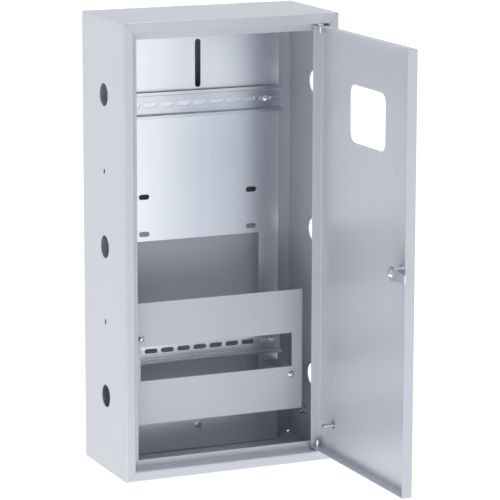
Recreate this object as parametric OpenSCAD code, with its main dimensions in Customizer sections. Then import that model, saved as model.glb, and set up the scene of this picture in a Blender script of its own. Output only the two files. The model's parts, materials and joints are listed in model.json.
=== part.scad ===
// Wall-mounted sheet-steel meter and distribution cabinet, shown with its door open.
// Origin: centre of the back face, on the wall. +X right, +Y into the wall, +Z up.

/* [Cabinet] */
// Overall width of the cabinet
cabinet_w = 300; // [290:5:400]
// Overall height of the cabinet
cabinet_h = 600; // [600:10:800]
// Overall depth from the wall to the front rim
cabinet_d = 150; // [140:5:200]
// Thickness of the painted sheet
sheet_t = 1.2; // [1:0.1:1.3]
// Diameter of the four wall fixing holes
wall_hole_d = 8; // [6:0.5:10]

/* [Front rim] */
// Width of the flat rim face
rim_w = 13.5; // [12:0.5:14]
// Depth of the recess that takes the door
recess_d = 17.5; // [17.5:0.5:20]
// Width of the stop lip behind the door
lip_w = 10.3; // [9:0.1:12]
// Inside radius of every fold in the painted sheet
fold_r = 0.8; // [0.5:0.1:1]

/* [Side entries] */
// Diameter of the cable entries
entry_d = 30; // [20:1:40]
// Vertical distance between cable entries
entry_pitch = 200; // [120:10:220]
// Diameter of the screw holes between the entries
side_hole_d = 7; // [3:0.5:8]

/* [Door] */
// Opening angle at which the door stands
door_open = 90.5; // [0:0.5:104]
// Gap between the door and the rim
door_gap = 2.5; // [2.5:0.5:4]
// Depth of the folded door edge
door_flange = 14.2; // [12:0.1:14.2]
// Width of the reading window
window_w = 101; // [60:1:140]
// Height of the reading window
window_h = 75; // [50:1:110]
// Corner radius of the reading window
window_r = 13; // [2:1:20]

/* [Hinge and lock] */
// Diameter of the hinge pins
pin_d = 5; // [4:0.5:6]
// Distance from the free edge of the door to the lock axis
lock_edge = 27; // [24:1:30]
// Reach of the lock cam from its axis
cam_reach = 39; // [36:1:40]
// Width of the lock cam
cam_w = 16; // [12:1:16]

/* [Mounting panel] */
// Width over the folded sides
plate_w = 236; // [228:2:236]
// Distance of its front face from the wall
plate_front = 32.5; // [25:0.5:45]
// Thickness of the galvanised sheet
plate_t = 1; // [0.8:0.1:1.2]

/* [DIN rails] */
// Length of each rail
rail_l = 240; // [230:2:250]
// Height of the upper rail's centre line
upper_rail_z = 175; // [165:1:178]
// Height of the lower rail's centre line
lower_rail_z = -157; // [-160:1:-155]
// Distance between slots along a rail
rail_slot_pitch = 23.5; // [22:0.5:25]

/* [False panel] */
// Width of the false panel
cover_w = 250; // [240:2:250]
// Height of the false panel
cover_h = 164; // [140:2:170]
// Distance of its front face from the wall
cover_front = 98; // [90:1:105]
// Width of its window, twelve modules
cover_window_w = 218; // [160:1:218]
// Height of its window
cover_window_h = 46; // [45:0.5:50]

/* [Hidden] */
$fn = 48;

PAINT = [0.80, 0.81, 0.84];
ZINC = [0.78, 0.80, 0.82];
STEEL = [0.62, 0.63, 0.65];
NICKEL = [0.70, 0.69, 0.66];
CUT = 1;                                  // how far a cutter runs past what it cuts
RUN_CLEAR = 0.05;                         // radial clearance of a turning fit
FREE_CLEAR = 0.15;                        // radial clearance of a fixed screw in its hole

half_w = cabinet_w / 2;
half_h = cabinet_h / 2;
inner_x = half_w - sheet_t;
inner_z = half_h - sheet_t;
wall_start = 2 * (fold_r + sheet_t);      // where the flat side sheet begins, behind the rim's fold
rim_inner = rim_w + lip_w;
mitre_gap = 0.1;
wall_hole_x = 100;
wall_hole_z = half_h - 30;
entry_y = -77;
tag_hole_d = 3;
tag_hole_y = -72;
tag_hole_z = 24.5;
earth_y = -58;
earth_z = -half_h + 45.5;
relief_r = 2.4;
earth_stud_l = 9.5;

door_w = cabinet_w - 2 * (rim_w + door_gap);
door_h = cabinet_h - 2 * (rim_w + door_gap);
pin_inset = 7;                            // hinge axis to the door's side edge, and to its front face
hinge_x = door_w / 2 - pin_inset;
hinge_y = -cabinet_d + pin_inset;
window_x = 0;
window_z = half_h - 120;
pin_inside = 9;
collar_d = 9;
collar_clear = 0.3;

lock_x = -door_w / 2 + lock_edge;
lock_r = 9.5;                             // threaded barrel of the lock
lock_head_r = 12;
lock_head_t = 2.5;
plug_r = 7;
cam_t = 2;
cam_tip_w = 10;
cam_depth = recess_d + sheet_t + 0.6;     // from the door's face to the near side of the cam
drive_w = 8;                              // square that turns the cam
barrel_l = cam_depth - 0.5;
key_slot_l = 8;
key_slot_w = 1.2;
cam_screw_d = 3.7;
cam_washer_t = 0.8;
door_stud_x = hinge_x - 37;
door_stud_z = -half_h + 56;
stud_d = 6;
door_stud_l = 16;

plate_h = 2 * inner_z - 2;
plate_fold_r = 0.6;
plate_back = -plate_front + plate_t;
cutout_w = 178;
cutout_top = -7;
cutout_bottom = -half_h + 60;
hook_slot_w = 8;
hook_slot_l = 64;
hook_slot_z = 227.5;
meter_slot_x = 77.2;
meter_slot_rows = [52.7, 2.7];
meter_slot_l = 15;
meter_slot_w = 7;
panel_stud_z = [-half_h + 34.5, half_h - 20];
panel_stud_d = 4;
panel_stud_tip = plate_front + 6.5;
panel_washer_d = 9;
panel_nut_af = 7;
panel_nut_t = 3.2;
washer_t = 1;
nut_t = 4.5;
nut_af = 10;                              // across the flats

rail_w = 35;
rail_crown = 27;
rail_d = 7.5;
rail_t = 1;
rail_fold_r = 0.4;
rail_slot_l = 18.4;
rail_slot_w = 6.2;
rail_slot_shift = 2;
rail_slots_each_side = 4;
rail_screw_d = 5;
upper_screw_x = 98;
lower_screw_x = 109;
screw_tip = 3.5;                          // how far a screw passes the back of what holds it

cover_t = 1.2;
cover_fold = 12;
cover_screw_x = 107.8;
cover_screw_dz = 34;
cover_screw_d = 4;
bracket_h = 12;
bracket_t = 1;
bracket_foot = 20;
bracket_web_x = 116.5;

// ---- general shapes ----

function unit(v) = v / norm(v);

// Outline of a folded sheet: a centre line of right-angle corners, sheet thickness and inside radius
module fold_outline(path, t, r) {
    last = len(path) - 1;
    mid_r = r + t / 2;
    for (i = [0 : last - 1]) {
        along = unit(path[i + 1] - path[i]);
        start = path[i] + (i > 0 ? mid_r : 0) * along;
        end = path[i + 1] - (i < last - 1 ? mid_r : 0) * along;
        translate((start + end) / 2)
            square([abs(end[0] - start[0]) + t * abs(along[1]),
                    abs(end[1] - start[1]) + t * abs(along[0])], center = true);
    }
    for (i = [1 : last - 1])
        fold_corner(path[i], unit(path[i] - path[i - 1]), unit(path[i + 1] - path[i]), t, r);
}

// Quarter ring where the centre line turns from one direction to the next
module fold_corner(corner, come, go, t, r) {
    side = r + t;
    facing = come - go;
    translate(corner + (r + t / 2) * (go - come))
        intersection() {
            difference() {
                circle(r = side);
                circle(r = r);
            }
            translate([min(0, facing[0] * side), min(0, facing[1] * side)]) square(side);
        }
}

// Box whose front face is at y = 0 and whose four front edges are rounded; it runs back along +Y
module pan_block(w, h, depth, r) {
    intersection() {
        translate([0, 0, -h / 2]) linear_extrude(h) pan_outline(w, depth, r);
        translate([-w / 2, 0, 0]) rotate([0, 90, 0]) linear_extrude(w) pan_outline(h, depth, r);
    }
}

// Rectangle from y = 0 to y = depth with its two corners at y = 0 rounded
module pan_outline(w, depth, r) {
    translate([-w / 2, r]) square([w, depth - r]);
    translate([-w / 2 + r, 0]) square([w - 2 * r, depth]);
    for (side = [-1, 1]) translate([side * (w / 2 - r), r]) circle(r = r);
}

// Straight slot with round ends that runs through along Y
module slot_cut(l, w, depth, upright = false) {
    rotate([90, upright ? 90 : 0, 0]) translate([0, 0, -depth / 2])
        linear_extrude(depth) {
            square([l - w, w], center = true);
            for (side = [-1, 1]) translate([side * (l - w) / 2, 0]) circle(d = w);
        }
}

// Round bar along Y from y1 to y2
module bar_y(d, y1, y2) {
    translate([0, y1, 0]) rotate([-90, 0, 0]) cylinder(d = d, h = y2 - y1);
}

// Hexagon nut on a stud along Y, from y1 to y2
module nut_y(af, bore, y1, y2) {
    difference() {
        translate([0, y1, 0]) rotate([-90, 0, 0])
            cylinder(d = af / cos(30), h = y2 - y1, $fn = 6);
        bar_y(bore, y1 - CUT, y2 + CUT);
    }
}

module washer_y(outer, bore, y1, y2) {
    difference() {
        bar_y(outer, y1, y2);
        bar_y(bore, y1 - CUT, y2 + CUT);
    }
}

// Round-headed screw: the head's underside is at y = 0, the head stands towards -Y
module pan_screw(d, head_d, head_h, length) {
    dome_r = head_d * 0.64;
    difference() {
        intersection() {
            bar_y(head_d, -head_h, 0);
            translate([0, dome_r - head_h, 0]) sphere(r = dome_r);
        }
        for (turn = [0, 90]) rotate([0, turn, 0])
            translate([-head_d * 0.28, -head_h - CUT, -head_d * 0.07])
                cube([head_d * 0.56, CUT + head_h * 0.6, head_d * 0.14]);
    }
    bar_y(d, 0, length);
}

// ---- cabinet shell ----

// Trapezium that leaves one side of the front frame, mitred at both ends
module mitre_block(length) {
    outer = length / 2 - mitre_gap;
    translate([0, CUT, 0]) rotate([90, 0, 0]) linear_extrude(cabinet_d)
        polygon([[0, -outer], [0, outer], [rim_inner + CUT, outer - rim_inner - CUT],
                 [rim_inner + CUT, -outer + rim_inner + CUT]]);
}

// One side of the front frame: edge fold, flat face, step back and stop lip. It stands along Z,
// with its outer side at x = 0, its inner side towards +X and its face at y = 0.
module rim_strip(length) {
    half_t = sheet_t / 2;
    intersection() {
        translate([0, 0, -length / 2]) linear_extrude(length)
            fold_outline([[half_t, wall_start], [half_t, half_t], [rim_w - half_t, half_t],
                          [rim_w - half_t, recess_d + half_t], [rim_inner, recess_d + half_t]],
                         sheet_t, fold_r);
        translate([0, recess_d + 2 * CUT, 0]) mitre_block(length);
    }
}

module at_front() {
    translate([0, -cabinet_d, 0]) children();
}

module left_rim() {
    color(PAINT) at_front() translate([-half_w, 0, 0]) rim_strip(cabinet_h);
}

module right_rim() {
    color(PAINT) at_front() translate([half_w, 0, 0]) mirror([1, 0, 0]) rim_strip(cabinet_h);
}

// Top side of the frame, with the bore for its hinge pin
module level_rim() {
    difference() {
        at_front() translate([0, 0, half_h]) rotate([0, 90, 0]) rim_strip(cabinet_w);
        translate([hinge_x, hinge_y, half_h - rim_w - CUT])
            cylinder(r = pin_d / 2 + RUN_CLEAR, h = sheet_t + 2 * CUT);
    }
}

module top_rim() {
    color(PAINT) level_rim();
}

module bottom_rim() {
    color(PAINT) mirror([0, 0, 1]) level_rim();
}

module back_panel() {
    color(PAINT) difference() {
        translate([-inner_x, -sheet_t, -inner_z]) cube([2 * inner_x, sheet_t, 2 * inner_z]);
        for (x = [-wall_hole_x, wall_hole_x], z = [-wall_hole_z, wall_hole_z])
            translate([x, 0, z]) bar_y(wall_hole_d, -sheet_t - CUT, CUT);
        for (x = [-inner_x, inner_x], z = [-inner_z, inner_z])
            translate([x, 0, z]) bar_y(2 * relief_r, -sheet_t - CUT, CUT);
    }
}

module side_sheet() {
    difference() {
        translate([-half_w, -cabinet_d + wall_start, -inner_z])
            cube([sheet_t, cabinet_d - wall_start, 2 * inner_z]);
        for (row = [-1, 0, 1]) side_cut(entry_d, entry_y, row * entry_pitch);
        for (row = [-1, 1]) side_cut(side_hole_d, entry_y, row * entry_pitch / 2);
    }
}

// Round hole through the left side sheet
module side_cut(d, y, z) {
    translate([-half_w - CUT, y, z]) rotate([0, 90, 0]) cylinder(d = d, h = sheet_t + 2 * CUT);
}

module left_side() {
    color(PAINT) side_sheet();
}

module right_side() {
    color(PAINT) mirror([1, 0, 0]) difference() {
        side_sheet();
        side_cut(tag_hole_d, tag_hole_y, tag_hole_z);
    }
}

module cap_sheet() {
    translate([-half_w, -cabinet_d + wall_start, inner_z])
        cube([cabinet_w, cabinet_d - wall_start, sheet_t]);
}

module top_sheet() {
    color(PAINT) cap_sheet();
}

module bottom_sheet() {
    color(PAINT) mirror([0, 0, 1]) cap_sheet();
}

// Everything on the right wall's earth terminal is drawn along Y and turned to point to -X
module at_earth() {
    translate([inner_x, earth_y, earth_z]) rotate([0, 0, -90]) children();
}

module earth_stud() {
    color(STEEL) at_earth() {
        bar_y(stud_d + 4, -1, 0);
        bar_y(stud_d, -earth_stud_l, -1);
    }
}

module earth_washer() {
    color(ZINC) at_earth() washer_y(12, stud_d + 2 * FREE_CLEAR, -2.2, -1);
}

module earth_nut() {
    color(ZINC) at_earth() nut_y(nut_af, stud_d + 2 * FREE_CLEAR, -2.2 - nut_t, -2.2);
}

// ---- mounting panel ----

module mounting_panel() {
    half_t = plate_t / 2;
    edge = plate_w / 2 - half_t;
    face = -plate_front + half_t;
    color(ZINC) difference() {
        translate([0, 0, -plate_h / 2]) linear_extrude(plate_h)
            fold_outline([[-edge, -sheet_t], [-edge, face], [edge, face], [edge, -sheet_t]],
                         plate_t, plate_fold_r);
        translate([-cutout_w / 2, -plate_front - CUT, cutout_bottom])
            cube([cutout_w, plate_t + 2 * CUT, cutout_top - cutout_bottom]);
        plate_cuts();
    }
}

module plate_cuts() {
    depth = 4 * plate_t;
    translate([0, -plate_front, hook_slot_z])
        slot_cut(hook_slot_l, hook_slot_w, depth, upright = true);
    for (x = [-meter_slot_x, meter_slot_x], z = meter_slot_rows)
        translate([x, -plate_front, z]) slot_cut(meter_slot_l, meter_slot_w, depth);
    for (z = panel_stud_z) translate([0, 0, z])
        bar_y(panel_stud_d + 1, -plate_front - CUT, plate_back + CUT);
    for (p = rail_screw_places()) translate([p[0], 0, p[1]])
        bar_y(rail_screw_d + 2 * FREE_CLEAR, -plate_front - CUT, plate_back + CUT);
}

module panel_studs() {
    color(STEEL) for (z = panel_stud_z) translate([0, 0, z]) {
        bar_y(panel_stud_d + 4, -sheet_t - 1, -sheet_t);
        bar_y(panel_stud_d, -panel_stud_tip, -sheet_t - 1);
    }
}

module panel_washers() {
    color(ZINC) for (z = panel_stud_z) translate([0, 0, z])
        washer_y(panel_washer_d, panel_stud_d + 2 * FREE_CLEAR, -plate_front - washer_t, -plate_front);
}

module panel_nuts() {
    seat = -plate_front - washer_t;
    color(ZINC) for (z = panel_stud_z) translate([0, 0, z])
        nut_y(panel_nut_af, panel_stud_d + 2 * FREE_CLEAR, seat - panel_nut_t, seat);
}

// ---- DIN rails ----

function rail_screw_places() = [
    for (s = [-1, 1]) each [[s * upper_screw_x, upper_rail_z], [s * lower_screw_x, lower_rail_z]]
];

// Top-hat section seen along the rail: x is depth from the panel, y is height
module rail_outline() {
    half_t = rail_t / 2;
    wall = rail_crown / 2 - half_t;
    fold_outline([[rail_d - half_t, rail_w / 2], [rail_d - half_t, wall], [half_t, wall],
                  [half_t, -wall], [rail_d - half_t, -wall], [rail_d - half_t, -rail_w / 2]],
                 rail_t, rail_fold_r);
}

module rail() {
    difference() {
        translate([-rail_l / 2, -plate_front, 0]) rotate([90, 0, 90])
            linear_extrude(rail_l) mirror([1, 0]) rail_outline();
        for (i = [-rail_slots_each_side : rail_slots_each_side])
            translate([i * rail_slot_pitch + rail_slot_shift, -plate_front, 0])
                slot_cut(rail_slot_l, rail_slot_w, 4 * rail_t);
    }
}

module upper_rail() {
    color(ZINC) translate([0, 0, upper_rail_z]) difference() {
        rail();
        rail_screw_holes(upper_screw_x);
    }
}

module lower_rail() {
    color(ZINC) translate([0, 0, lower_rail_z]) difference() {
        rail();
        rail_screw_holes(lower_screw_x);
    }
}

module rail_screw_holes(x) {
    for (s = [-1, 1]) translate([s * x, 0, 0])
        bar_y(rail_screw_d + 2 * FREE_CLEAR, -plate_front - 2 * rail_t, -plate_front + CUT);
}

module rail_screws() {
    color(ZINC) for (p = rail_screw_places())
        translate([p[0], -plate_front - rail_t, p[1]])
            pan_screw(rail_screw_d, 9, 3, rail_t + plate_t + screw_tip);
}

// ---- false panel ----

// Height of the bracket on the left (-1) or right (1) leg of the mounting panel
function bracket_z(s) = lower_rail_z - s * cover_screw_dz;

// Bent bracket: foot welded to the mounting panel, web, and front tab with the screw hole
module bracket(s) {
    half_t = bracket_t / 2;
    web = s * (bracket_web_x - half_t);
    foot_y = -plate_front - half_t;
    tab_y = -cover_front + cover_t + half_t;
    difference() {
        translate([0, 0, bracket_z(s) - bracket_h / 2]) linear_extrude(bracket_h)
            fold_outline([[web - s * bracket_foot, foot_y], [web, foot_y],
                          [web, tab_y], [web - s * bracket_foot, tab_y]], bracket_t, rail_fold_r);
        translate([s * cover_screw_x, 0, bracket_z(s)])
            bar_y(cover_screw_d + 2 * FREE_CLEAR, -cover_front, tab_y + half_t + CUT);
    }
}

module left_bracket() {
    color(ZINC) bracket(-1);
}

module right_bracket() {
    color(ZINC) bracket(1);
}

module false_panel() {
    color(PAINT) difference() {
        translate([0, -cover_front, lower_rail_z - cover_h / 2]) linear_extrude(cover_h)
            cover_outline();
        translate([-cover_window_w / 2, -cover_front - CUT, lower_rail_z - cover_window_h / 2])
            cube([cover_window_w, cover_t + 2 * CUT, cover_window_h]);
        for (s = [-1, 1]) translate([s * cover_screw_x, 0, bracket_z(s)])
            bar_y(cover_screw_d + 2 * FREE_CLEAR, -cover_front - CUT, -cover_front + cover_t + CUT);
    }
}

// Flat face with a fold back along the left and right sides
module cover_outline() {
    half_t = cover_t / 2;
    edge = cover_w / 2 - half_t;
    fold_outline([[-edge, cover_fold], [-edge, half_t], [edge, half_t], [edge, cover_fold]],
                 cover_t, fold_r);
}

module false_panel_screws() {
    color(ZINC) for (s = [-1, 1]) translate([s * cover_screw_x, -cover_front, bracket_z(s)])
        pan_screw(cover_screw_d, 9, 2.8, cover_t + bracket_t + screw_tip);
}

// ---- door, drawn closed and then turned about its hinge ----

module opened() {
    translate([hinge_x, hinge_y, 0]) rotate([0, 0, door_open])
        translate([-hinge_x, -hinge_y, 0]) children();
}

module door_panel() {
    color(PAINT) opened() difference() {
        at_front() pan_block(door_w, door_h, door_flange, fold_r + sheet_t);
        at_front() translate([0, sheet_t, 0])
            pan_block(door_w - 2 * sheet_t, door_h - 2 * sheet_t, door_flange + CUT, fold_r);
        translate([window_x, -cabinet_d, window_z]) window_cut();
        translate([lock_x, 0, 0])
            bar_y(2 * (lock_r + FREE_CLEAR), -cabinet_d - CUT, -cabinet_d + sheet_t + CUT);
        for (side = [-1, 1])
            translate([hinge_x, hinge_y, side * (door_h / 2 - sheet_t / 2)])
                cylinder(r = pin_d / 2 + RUN_CLEAR, h = sheet_t + 2 * CUT, center = true);
    }
}

// Window with rounded corners
module window_cut() {
    depth = 2 * sheet_t + 2 * CUT;
    translate([0, depth / 2, 0]) rotate([90, 0, 0]) linear_extrude(depth) {
        square([window_w - 2 * window_r, window_h], center = true);
        square([window_w, window_h - 2 * window_r], center = true);
        for (x = [-1, 1], z = [-1, 1])
            translate([x * (window_w / 2 - window_r), z * (window_h / 2 - window_r)])
                circle(r = window_r);
    }
}

// Turned pin: shank inside the door, collar in the gap, and the end that runs in the rim
module hinge_pin() {
    edge = door_h / 2;
    translate([hinge_x, hinge_y, 0]) {
        translate([0, 0, edge - sheet_t - pin_inside])
            cylinder(d = pin_d, h = pin_inside + sheet_t + door_gap + sheet_t + 2.5);
        translate([0, 0, edge]) cylinder(d = collar_d, h = door_gap - collar_clear);
    }
}

module top_hinge_pin() {
    color(STEEL) opened() hinge_pin();
}

module bottom_hinge_pin() {
    color(STEEL) opened() mirror([0, 0, 1]) hinge_pin();
}

// Spring clips that hold the pins in the door
module hinge_clips() {
    clip_t = 0.8;
    color(STEEL) opened() for (side = [-1, 1])
        translate([hinge_x, hinge_y, side * (door_h / 2 - sheet_t - clip_t / 2)])
            difference() {
                cylinder(d = collar_d, h = clip_t, center = true);
                cylinder(d = pin_d, h = 2 * clip_t, center = true);
                translate([-pin_d / 4, 0, -clip_t]) cube([pin_d / 2, collar_d, 2 * clip_t]);
            }
}

module door_earth_stud() {
    base = -cabinet_d + sheet_t;
    color(STEEL) opened() translate([door_stud_x, 0, door_stud_z]) {
        bar_y(stud_d + 4, base, base + 1);
        bar_y(stud_d, base + 1, base + door_stud_l);
    }
}

// ---- lock ----

module at_lock() {
    opened() translate([lock_x, -cabinet_d, 0]) children();
}

module lock_housing() {
    color(NICKEL) at_lock() difference() {
        union() {
            bar_y(2 * lock_head_r, -lock_head_t, 0);
            bar_y(2 * lock_r, 0, barrel_l);
        }
        bar_y(2 * (plug_r + RUN_CLEAR), -lock_head_t - CUT, barrel_l + CUT);
    }
}

module lock_nut() {
    color(ZINC) at_lock() nut_y(22, 2 * (lock_r + FREE_CLEAR), sheet_t, sheet_t + 4);
}

module lock_plug() {
    bore_y = cam_depth + cam_t - 10;
    color(NICKEL) at_lock() difference() {
        union() {
            bar_y(2 * plug_r, -lock_head_t + 0.4, cam_depth);
            translate([-drive_w / 2, cam_depth, -drive_w / 2]) cube([drive_w, cam_t, drive_w]);
        }
        translate([-key_slot_w / 2, -lock_head_t - CUT, -key_slot_l / 2])
            cube([key_slot_w, 8, key_slot_l]);
        bar_y(cam_screw_d + 2 * FREE_CLEAR, bore_y, bore_y + 10 + CUT);
    }
}

module lock_cam() {
    hole = drive_w + 0.1;
    color(ZINC) at_lock() translate([0, cam_depth + cam_t, 0]) rotate([90, 0, 0])
        linear_extrude(cam_t) difference() {
            union() {
                circle(d = cam_w);
                polygon([[0, cam_w / 2], [-cam_reach, cam_tip_w / 2],
                         [-cam_reach, -cam_tip_w / 2], [0, -cam_w / 2]]);
            }
            square(hole, center = true);
        }
}

module cam_washer() {
    seat = cam_depth + cam_t;
    color(ZINC) at_lock()
        washer_y(10, cam_screw_d + 2 * FREE_CLEAR, seat, seat + cam_washer_t);
}

module cam_screw() {
    seat = cam_depth + cam_t + cam_washer_t;
    color(ZINC) at_lock() translate([0, seat, 0]) rotate([0, 0, 180])
        pan_screw(cam_screw_d, 7, 2.8, 9);
}

back_panel();
left_side();
right_side();
top_sheet();
bottom_sheet();
left_rim();
right_rim();
top_rim();
bottom_rim();
mounting_panel();
panel_studs();
panel_washers();
panel_nuts();
upper_rail();
lower_rail();
rail_screws();
left_bracket();
right_bracket();
false_panel();
false_panel_screws();
earth_stud();
earth_washer();
earth_nut();
door_panel();
top_hinge_pin();
bottom_hinge_pin();
hinge_clips();
door_earth_stud();
lock_housing();
lock_nut();
lock_plug();
lock_cam();
cam_washer();
cam_screw();
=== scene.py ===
import json
import math

import bpy
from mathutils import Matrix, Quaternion, Vector


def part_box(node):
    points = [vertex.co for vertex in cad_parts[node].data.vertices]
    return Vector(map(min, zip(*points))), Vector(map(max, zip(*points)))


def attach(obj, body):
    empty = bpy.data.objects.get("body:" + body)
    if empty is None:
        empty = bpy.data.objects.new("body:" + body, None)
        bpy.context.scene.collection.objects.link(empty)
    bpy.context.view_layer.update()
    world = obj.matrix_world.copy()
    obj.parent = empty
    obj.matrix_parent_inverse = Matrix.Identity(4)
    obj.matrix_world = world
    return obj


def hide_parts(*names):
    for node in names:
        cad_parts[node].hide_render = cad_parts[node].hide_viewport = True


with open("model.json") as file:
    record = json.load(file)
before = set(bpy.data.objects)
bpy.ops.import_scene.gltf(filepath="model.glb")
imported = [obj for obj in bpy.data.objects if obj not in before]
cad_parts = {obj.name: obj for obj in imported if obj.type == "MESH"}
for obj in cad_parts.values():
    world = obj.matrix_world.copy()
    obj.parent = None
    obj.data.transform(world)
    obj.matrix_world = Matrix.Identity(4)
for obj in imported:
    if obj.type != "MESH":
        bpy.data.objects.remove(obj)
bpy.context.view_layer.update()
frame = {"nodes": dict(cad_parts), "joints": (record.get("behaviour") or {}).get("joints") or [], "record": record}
NODES = frame["nodes"]
SLOT_OF = {s["node"]: s["material_slot"] for s in frame["record"]["subparts"]}


# ---------------------------------------------------------------- node helpers

# sockets of a Mix node in colour mode
MIX_AMOUNT, MIX_A, MIX_B, MIX_RESULT = 0, 6, 7, 2
# cosine between the rounded and the true normal, where an edge starts and where it is full
EDGE_STARTS, EDGE_FULL = 0.99, 0.80
BEVEL_SAMPLES = 4


class Graph:
    """A material's node tree, with short calls for the nodes used here."""

    def __init__(self, name):
        self.mat = bpy.data.materials.new(name)
        self.mat.use_nodes = True
        self.tree = self.mat.node_tree
        self.shader = self.tree.nodes["Principled BSDF"]
        self.place = self.add("ShaderNodeTexCoord").outputs["Object"]

    def add(self, kind):
        return self.tree.nodes.new(kind)

    def put(self, socket, value):
        """Link another node's output to the socket, or set a constant on it."""
        if isinstance(value, bpy.types.NodeSocket):
            self.tree.links.new(value, socket)
        else:
            socket.default_value = value

    def stretch(self, x, y, z):
        node = self.add("ShaderNodeMapping")
        self.put(node.inputs["Vector"], self.place)
        node.inputs["Scale"].default_value = (x, y, z)
        return node.outputs["Vector"]

    def noise(self, scale, detail=2.0, rough=0.5, place=None):
        node = self.add("ShaderNodeTexNoise")
        self.put(node.inputs["Vector"], place or self.place)
        node.inputs["Scale"].default_value = scale
        node.inputs["Detail"].default_value = detail
        node.inputs["Roughness"].default_value = rough
        return node.outputs["Fac"]

    def cell_level(self, scale):
        """A random level, 0 to 1, that is the same all over each cell."""
        cells = self.add("ShaderNodeTexVoronoi")
        self.put(cells.inputs["Vector"], self.place)
        cells.inputs["Scale"].default_value = scale
        split = self.add("ShaderNodeSeparateColor")
        self.put(split.inputs["Color"], cells.outputs["Color"])
        return split.outputs["Red"]

    def remap(self, value, lo, hi, to_lo, to_hi):
        node = self.add("ShaderNodeMapRange")
        self.put(node.inputs["Value"], value)
        node.inputs["From Min"].default_value = lo
        node.inputs["From Max"].default_value = hi
        node.inputs["To Min"].default_value = to_lo
        node.inputs["To Max"].default_value = to_hi
        return node.outputs["Result"]

    def maths(self, kind, a, b):
        node = self.add("ShaderNodeMath")
        node.operation = kind
        self.put(node.inputs[0], a)
        self.put(node.inputs[1], b)
        return node.outputs[0]

    def weigh(self, a, b, share_b):
        """The mean of two values, with share_b of the second."""
        return self.maths("ADD", self.maths("MULTIPLY", a, 1 - share_b),
                          self.maths("MULTIPLY", b, share_b))

    def blend(self, amount, a, b):
        node = self.add("ShaderNodeMix")
        node.data_type = "RGBA"
        self.put(node.inputs[MIX_AMOUNT], amount)
        self.put(node.inputs[MIX_A], a)
        self.put(node.inputs[MIX_B], b)
        return node.outputs[MIX_RESULT]

    def bump(self, height, distance, strength, under=None):
        node = self.add("ShaderNodeBump")
        self.put(node.inputs["Height"], height)
        node.inputs["Distance"].default_value = distance
        node.inputs["Strength"].default_value = strength
        if under is not None:
            self.put(node.inputs["Normal"], under)
        return node.outputs["Normal"]

    def edges(self, radius):
        """A normal that rounds sharp edges, and a mask: 0 on flat faces, 1 on sharp edges."""
        bevel = self.add("ShaderNodeBevel")
        bevel.samples = BEVEL_SAMPLES
        bevel.inputs["Radius"].default_value = radius
        rounded = bevel.outputs["Normal"]
        flat = self.add("ShaderNodeNewGeometry").outputs["Normal"]
        node = self.add("ShaderNodeVectorMath")
        node.operation = "DOT_PRODUCT"
        self.put(node.inputs[0], rounded)
        self.put(node.inputs[1], flat)
        return rounded, self.remap(node.outputs["Value"], EDGE_STARTS, EDGE_FULL, 0.0, 1.0)

    def finish(self, color, rough, normal, **constants):
        self.put(self.shader.inputs["Base Color"], color)
        self.put(self.shader.inputs["Roughness"], rough)
        self.put(self.shader.inputs["Normal"], normal)
        for key, value in constants.items():
            self.shader.inputs[key].default_value = value
        return self.mat


def tint(color, factor):
    return tuple(min(1.0, c * factor) for c in color[:3]) + (1.0,)


# ---------------------------------------------------------------- materials
# Noise and cell scales are in cycles per metre. Edge radii and bump depths are in metres.

COAT_CLOUD, COAT_SPECK, COAT_EDGE_WEAR_AND_HIGHLIGHT, COAT_PEEL, COAT_WAVE = 9.0, 900.0, 120.0, 620.0, 14.0
COAT_EDGE = 0.0007
COAT_PEEL_DEPTH, COAT_WAVE_DEPTH = 0.00005, 0.0003
COAT_ROUGH = (0.26, 0.34)
COAT_METALLIC = 0.15        # a look choice that gives the soft bands inside the door


def powder_coat(name, color):
    """Semi-gloss powder paint: fine orange peel, faint clouding, edges lighter, partly a thinner coat and partly a
    painted highlight.
    """
    g = Graph(name)
    cloud = g.noise(COAT_CLOUD, 3.0)
    speck = g.noise(COAT_SPECK, 2.0, 0.6)
    base = g.blend(g.remap(cloud, 0.3, 0.7, 0.0, 1.0), tint(color, 0.985), tint(color, 1.015))
    base = g.blend(g.remap(speck, 0.30, 0.75, 0.0, 0.08), base, tint(color, 0.84))
    rounded, edge = g.edges(COAT_EDGE)
    edge = g.maths("MULTIPLY", edge, g.remap(g.noise(COAT_EDGE_WEAR_AND_HIGHLIGHT, 3.0), 0.35, 0.65, 0.2, 0.8))
    # edges lightened in colour: partly a thinner, worn coat, partly a painted highlight
    base = g.blend(g.maths("MULTIPLY", edge, 0.35), base, tint(color, 1.22))
    rough = g.remap(g.weigh(cloud, speck, 0.5), 0.3, 0.7, *COAT_ROUGH)
    peel = g.bump(g.noise(COAT_PEEL, 2.0, 0.45), COAT_PEEL_DEPTH, 0.45, rounded)
    wave = g.bump(g.noise(COAT_WAVE, 1.0), COAT_WAVE_DEPTH, 0.3, peel)
    return g.finish(base, rough, wave, IOR=1.5, Metallic=COAT_METALLIC)


SPANGLE, ROLLED_PATCH = 120.0, 5.0
ROLLED_BAND = (60.0, 60.0, 1.2)     # long in z, the way the sheet was rolled
ROLLED_EDGE, ROLLED_DEPTH = 0.0005, 0.00002


def galvanised(name, color, low, high):
    """Bright galvanised sheet: long soft rolling bands, faint spangle, broad duller patches."""
    g = Graph(name)
    grain = g.cell_level(SPANGLE)
    band = g.noise(1.0, 2.0, 0.5, g.stretch(*ROLLED_BAND))
    patch = g.noise(ROLLED_PATCH, 1.0)
    base = g.blend(grain, tint(color, 0.996), tint(color, 1.002))
    base = g.blend(g.remap(band, 0.3, 0.7, 0.0, 0.25), base, tint(color, 0.93))
    edge = g.edges(ROLLED_EDGE)[1]
    # sharp edges lightened in colour: a painted highlight
    base = g.blend(g.maths("MULTIPLY", edge, 0.4), base, tint(color, 1.1))
    rough = g.remap(g.weigh(band, patch, 0.7), 0.25, 0.75, low, high)
    return g.finish(base, rough, g.bump(band, ROLLED_DEPTH, 0.3), Metallic=1.0)


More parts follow.
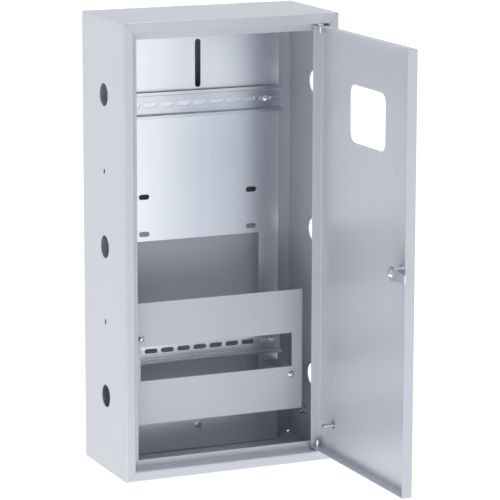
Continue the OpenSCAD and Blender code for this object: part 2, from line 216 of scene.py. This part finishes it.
PLATE_PATCH = 60.0
LINE_LONG, LINE_ACROSS = 12.0, 700.0
PLATE_EDGE, LINE_DEPTH = 0.0004, 0.00001


def plated(name, color, low, high, along, mottle=1.0):
    """Zinc or nickel plate over drawn or rolled steel: fine lines along one axis, mottled
    patches, edges lightened as a painted highlight."""
    g = Graph(name)
    scale = [LINE_LONG if axis == along else LINE_ACROSS for axis in "xyz"]
    lines = g.noise(1.0, 3.0, 0.6, g.stretch(*scale))
    patch = g.noise(PLATE_PATCH, 3.0, 0.6)
    base = g.blend(g.remap(patch, 0.3, 0.7, 0.0, mottle), tint(color, 0.94), tint(color, 1.03))
    base = g.blend(g.remap(lines, 0.4, 0.75, 0.0, 0.2), base, tint(color, 0.82))
    rounded, edge = g.edges(PLATE_EDGE)
    # sharp edges lightened in colour: a painted highlight
    base = g.blend(g.maths("MULTIPLY", edge, 0.5), base, tint(color, 1.2))
    rough = g.remap(g.weigh(lines, patch, mottle / 2), 0.3, 0.7, low, high)
    return g.finish(base, rough, g.bump(lines, LINE_DEPTH, 0.4, rounded), Metallic=1.0)


PAINT = (0.592, 0.610, 0.664)
SHEET_ZINC = (0.85, 0.89, 0.95)
RAIL_ZINC = (0.75, 0.79, 0.86)
BRACKET_ZINC = (0.76, 0.79, 0.84)
FASTENER_ZINC = (0.74, 0.76, 0.80)
STUD_STEEL = (0.58, 0.58, 0.60)
PIN_STEEL = (0.78, 0.78, 0.80)
LOCK_NICKEL = (0.78, 0.80, 0.83)
LOCK_ZINC = (0.82, 0.85, 0.90)

# metals: colour, lowest and highest roughness, then the lines' axis and how mottled
MATERIALS = {
    "cabinet_paint": powder_coat("powder_coat_cabinet", PAINT),
    "cover_paint": powder_coat("powder_coat_cover", tint(PAINT, 0.98)),
    "door_paint": powder_coat("powder_coat_door", PAINT),
    "galvanised_sheet": galvanised("galvanised_sheet", SHEET_ZINC, 0.29, 0.33),
    "rail_zinc": plated("rail_zinc", RAIL_ZINC, 0.22, 0.30, "x", 0.3),
    "bracket_zinc": plated("bracket_zinc", BRACKET_ZINC, 0.26, 0.38, "z", 0.5),
    "fastener_zinc": plated("fastener_zinc", FASTENER_ZINC, 0.16, 0.30, "z"),
    "stud_steel": plated("stud_steel", STUD_STEEL, 0.18, 0.32, "z"),
    "pin_steel": plated("pin_steel", PIN_STEEL, 0.14, 0.28, "z"),
    "lock_nickel": plated("lock_nickel", LOCK_NICKEL, 0.14, 0.26, "z"),
    "lock_zinc": plated("lock_zinc", LOCK_ZINC, 0.30, 0.40, "y", 0.5),
}

for node, obj in NODES.items():
    obj.data.materials.clear()
    obj.data.materials.append(MATERIALS[SLOT_OF[node]])


# ---------------------------------------------------------------- threaded studs

FOOT_THICK = 0.001          # the welded foot, a thin disc
AROUND = 32                 # points round a stud
STEPS_PER_TURN = 8
THREAD_DEPTH = 0.61         # of the pitch
TIP_LENGTH = 0.8            # of the pitch
M6 = (0.003, 0.001)         # crest radius, pitch
M4 = (0.002, 0.0007)
# The stud on the open door stands half a degree off the x axis, so its box is a little longer
# than the stud is. The foot moves in and the length is cut by what the tilted foot adds.
LEAN_SHIFT, LEAN_CUT = 0.00004, 0.0001


def stud_profile(length, foot_r, crest, pitch):
    """Rows of (height, radius, share of thread) from the welded foot to the chamfered tip."""
    step = pitch / STEPS_PER_TURN
    rows = [(0.0, foot_r, 0.0), (FOOT_THICK * 0.8, foot_r, 0.0), (FOOT_THICK, foot_r * 0.96, 0.0)]
    height = FOOT_THICK
    while height < length - pitch:
        rows.append((height, crest, 1.0))
        height += step
    rows.append((length - pitch * TIP_LENGTH, crest * 0.97, 0.6))
    rows.append((length, crest * 0.78, 0.0))
    return rows


def add_stud(points, faces, foot, axis, length, foot_r, crest, pitch):
    """Append one stud, a closed solid with a helical thread, standing at foot along axis."""
    turn = axis.to_track_quat("Z", "Y")
    side, up = turn @ Vector((1, 0, 0)), turn @ Vector((0, 1, 0))
    depth = pitch * THREAD_DEPTH
    first = len(points)
    rows = stud_profile(length, foot_r, crest, pitch)
    for height, radius, share in rows:
        for k in range(AROUND):
            angle = math.tau * k / AROUND
            wave = abs(2 * ((height / pitch - k / AROUND) % 1.0) - 1)
            r = radius - share * depth * wave
            out = side * math.cos(angle) + up * math.sin(angle)
            points.append(foot + axis * height + out * r)
    for i in range(len(rows) - 1):
        for k in range(AROUND):
            a, b = first + i * AROUND + k, first + i * AROUND + (k + 1) % AROUND
            faces.append((a, b, b + AROUND, a + AROUND))
    last = first + (len(rows) - 1) * AROUND
    faces.append(tuple(first + k for k in reversed(range(AROUND))))
    faces.append(tuple(last + k for k in range(AROUND)))


def add_object(name, points, faces):
    mesh = bpy.data.meshes.new(name)
    mesh.from_pydata(points, [], faces)
    obj = bpy.data.objects.new(name, mesh)
    bpy.context.scene.collection.objects.link(obj)
    return obj


def threaded(name, node, body, axis, studs, pitch):
    """One piece that stands for a CAD node of studs; studs are (foot, length, foot_r, crest)."""
    points, faces = [], []
    for foot, length, foot_r, crest in studs:
        add_stud(points, faces, foot, axis, length, foot_r, crest, pitch)
    obj = add_object(name, points, faces)
    obj.data.materials.append(MATERIALS[SLOT_OF[node]])
    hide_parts(node)
    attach(obj, body)


def studs():
    crest, pitch = M6
    lo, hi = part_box("earth_stud")
    centre = (lo + hi) / 2
    stud = (Vector((hi.x, centre.y, centre.z)), hi.x - lo.x, (hi.z - lo.z) / 2, crest)
    threaded("earth_stud_thread", "earth_stud", "cabinet", Vector((-1, 0, 0)), [stud], pitch)

    lo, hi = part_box("door_earth_stud")
    centre = (lo + hi) / 2
    # the lock turns about the door's own inward direction
    inward = Vector(next(j["axis"] for j in frame["joints"] if j["name"] == "lock_turn"))
    foot = Vector((hi.x, centre.y, centre.z)) + inward * LEAN_SHIFT
    stud = (foot, hi.x - lo.x - LEAN_CUT, (hi.z - lo.z) / 2, crest)
    threaded("door_earth_stud_thread", "door_earth_stud", "door", inward, [stud], pitch)

    crest, pitch = M4
    lo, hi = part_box("panel_studs")
    foot_r = (hi.x - lo.x) / 2
    feet = [Vector(((lo.x + hi.x) / 2, hi.y, z)) for z in (lo.z + foot_r, hi.z - foot_r)]
    threaded("panel_stud_threads", "panel_studs", "cabinet", Vector((0, -1, 0)),
             [(foot, hi.y - lo.y, foot_r, crest) for foot in feet], pitch)


# ---------------------------------------------------------------- floor, light, camera

FLOOR_RADIUS, FLOOR_SIDES = 30.0, 96
FLOOR_HEIGHT, WALL_TOP = -1.6, 6.0
FLOOR_GREY, FLOOR_ROUGH, FLOOR_GLOW = 0.02, 0.9, 1.11
FLOOR_RIPPLE, FLOOR_RIPPLE_DEPTH = 3.0, 0.001

SKY_COLOR, SKY_STRENGTH = (0.90, 0.95, 1.0, 1.0), 0.25
LAMP_COLOR = (0.95, 0.975, 1.0)
# name, place, point it faces, size, power
LIGHTS = (
    ("top_soft", (0.0, 0.0, 2.6), (0, 0, 0), (2.0, 2.0), 50.0),
    ("low_front_soft", (-0.5, -1.5, -1.0), (0, 0, -0.2), (1.2, 0.8), 5.0),
    ("low_left_soft", (-1.3, -0.1, -0.9), (0, 0, -0.2), (1.2, 0.8), 2.8),
)

# the photograph's view: degrees, then metres, then millimetres
AZIMUTH, ELEVATION, ROLL = -23.741, 11.491, 0.129
TARGET, DISTANCE = (0.07567, -0.03328, -0.03050), 3.8559
LENS, SENSOR = 205.89, 36.0
NEAR, FAR = 0.1, 100.0


def floor():
    """One pale sweep: a wide floor that turns up into a low wall all round, glowing softly."""
    angles = [math.tau * k / FLOOR_SIDES for k in range(FLOOR_SIDES)]
    ring = [(FLOOR_RADIUS * math.cos(a), FLOOR_RADIUS * math.sin(a)) for a in angles]
    points = [(x, y, z) for z in (FLOOR_HEIGHT, WALL_TOP) for x, y in ring]
    walls = []
    for k in range(FLOOR_SIDES):
        after = (k + 1) % FLOOR_SIDES
        walls.append((k, after, FLOOR_SIDES + after, FLOOR_SIDES + k))
    obj = add_object("floor", points, [tuple(range(FLOOR_SIDES))] + walls)
    g = Graph("pale_floor")
    g.shader.inputs["Emission Color"].default_value = (1, 1, 1, 1)
    g.shader.inputs["Emission Strength"].default_value = FLOOR_GLOW
    ripple = g.bump(g.noise(FLOOR_RIPPLE), FLOOR_RIPPLE_DEPTH, 0.05)
    grey = (FLOOR_GREY, FLOOR_GREY, FLOOR_GREY, 1)
    obj.data.materials.append(g.finish(grey, FLOOR_ROUGH, ripple))


def area_light(name, place, at, size, power):
    data = bpy.data.lights.new(name, "AREA")
    data.shape = "RECTANGLE"
    data.size, data.size_y = size
    data.energy = power
    data.color = LAMP_COLOR
    obj = bpy.data.objects.new(name, data)
    obj.location = place
    obj.rotation_mode = "QUATERNION"
    obj.rotation_quaternion = (Vector(place) - Vector(at)).to_track_quat("Z", "Y")
    bpy.context.scene.collection.objects.link(obj)


def lights():
    world = bpy.data.worlds.new("studio")
    bpy.context.scene.world = world
    world.use_nodes = True
    sky = world.node_tree.nodes["Background"]
    sky.inputs["Color"].default_value = SKY_COLOR
    sky.inputs["Strength"].default_value = SKY_STRENGTH
    for light in LIGHTS:
        area_light(*light)


def camera():
    azimuth, elevation, roll = (math.radians(v) for v in (AZIMUTH, ELEVATION, ROLL))
    back = Vector((math.sin(azimuth) * math.cos(elevation),
                   -math.cos(azimuth) * math.cos(elevation),
                   math.sin(elevation)))
    data = bpy.data.cameras.new("camera")
    data.sensor_width = SENSOR
    data.lens = LENS
    data.clip_start, data.clip_end = NEAR, FAR
    obj = bpy.data.objects.new("camera", data)
    obj.location = Vector(TARGET) + back * DISTANCE
    obj.rotation_mode = "QUATERNION"
    obj.rotation_quaternion = (-back).to_track_quat("-Z", "Y") @ Quaternion((0, 0, 1), roll)
    bpy.context.scene.collection.objects.link(obj)
    bpy.context.scene.camera = obj


studs()
floor()
lights()
camera()
bpy.context.scene.view_settings.view_transform = "Standard"
